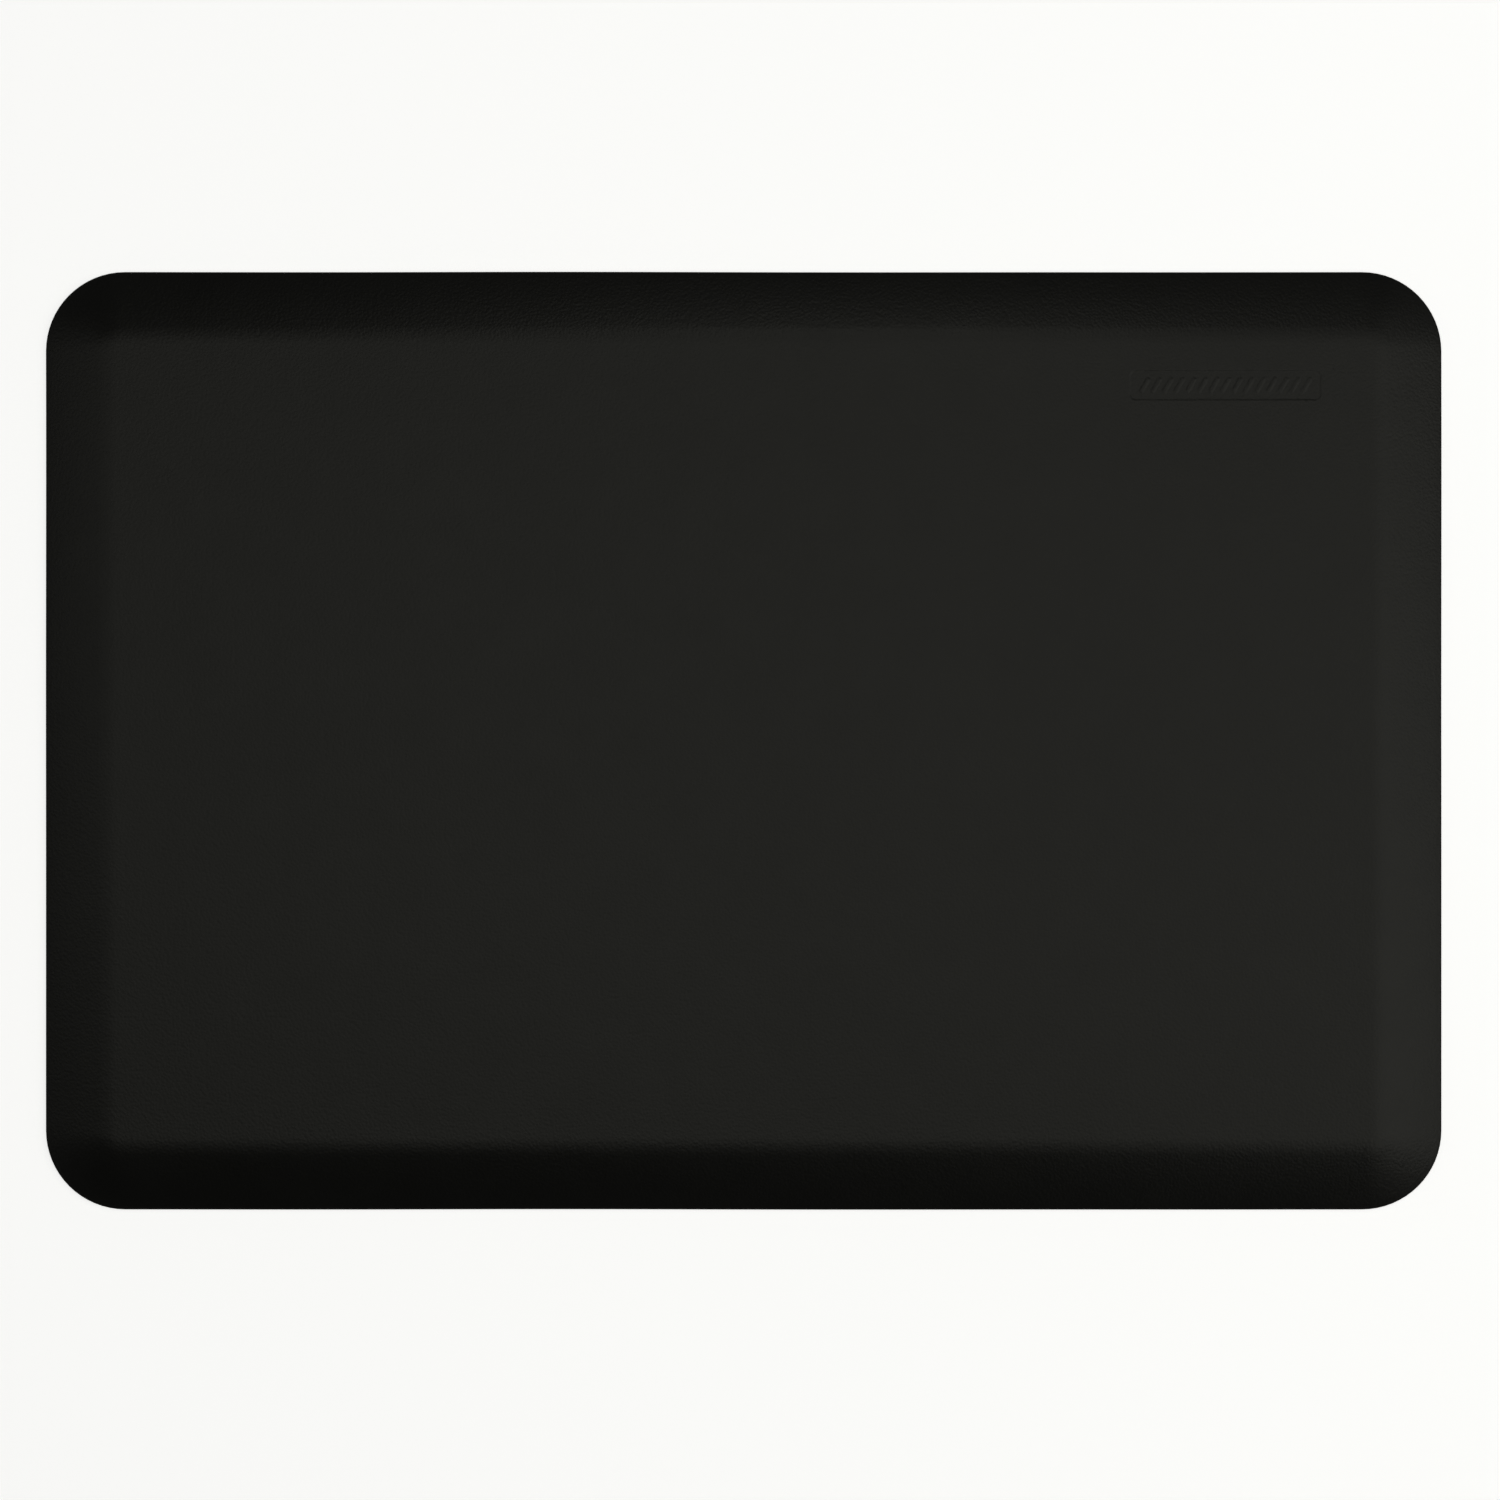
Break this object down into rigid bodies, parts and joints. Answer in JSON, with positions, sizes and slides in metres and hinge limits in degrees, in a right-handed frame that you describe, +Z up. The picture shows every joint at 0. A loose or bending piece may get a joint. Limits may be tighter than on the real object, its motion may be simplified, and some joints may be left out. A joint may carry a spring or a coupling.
{
  "type": "anti-fatigue mat",
  "caption": "Rectangular cushioned standing mat with rounded corners and edges ramped down to the floor on all sides.",
  "frame": {"origin": "on the floor, under the centre of the mat", "axes": "+Z up out of the standing face, +X along the long side, +Y along the short side"},
  "size_m": [0.914, 0.614, 0.019],
  "materials": {
    "top_skin": "matte, fine pebble grain",
    "foam_core": "matte, fine closed-cell foam",
    "base_skin": "satin, smooth moulded"
  },
  "bodies": {
    "root": {"top_skin": "top_skin", "foam_core": "foam_core", "base_skin": "base_skin"}
  },
  "joints": []
}
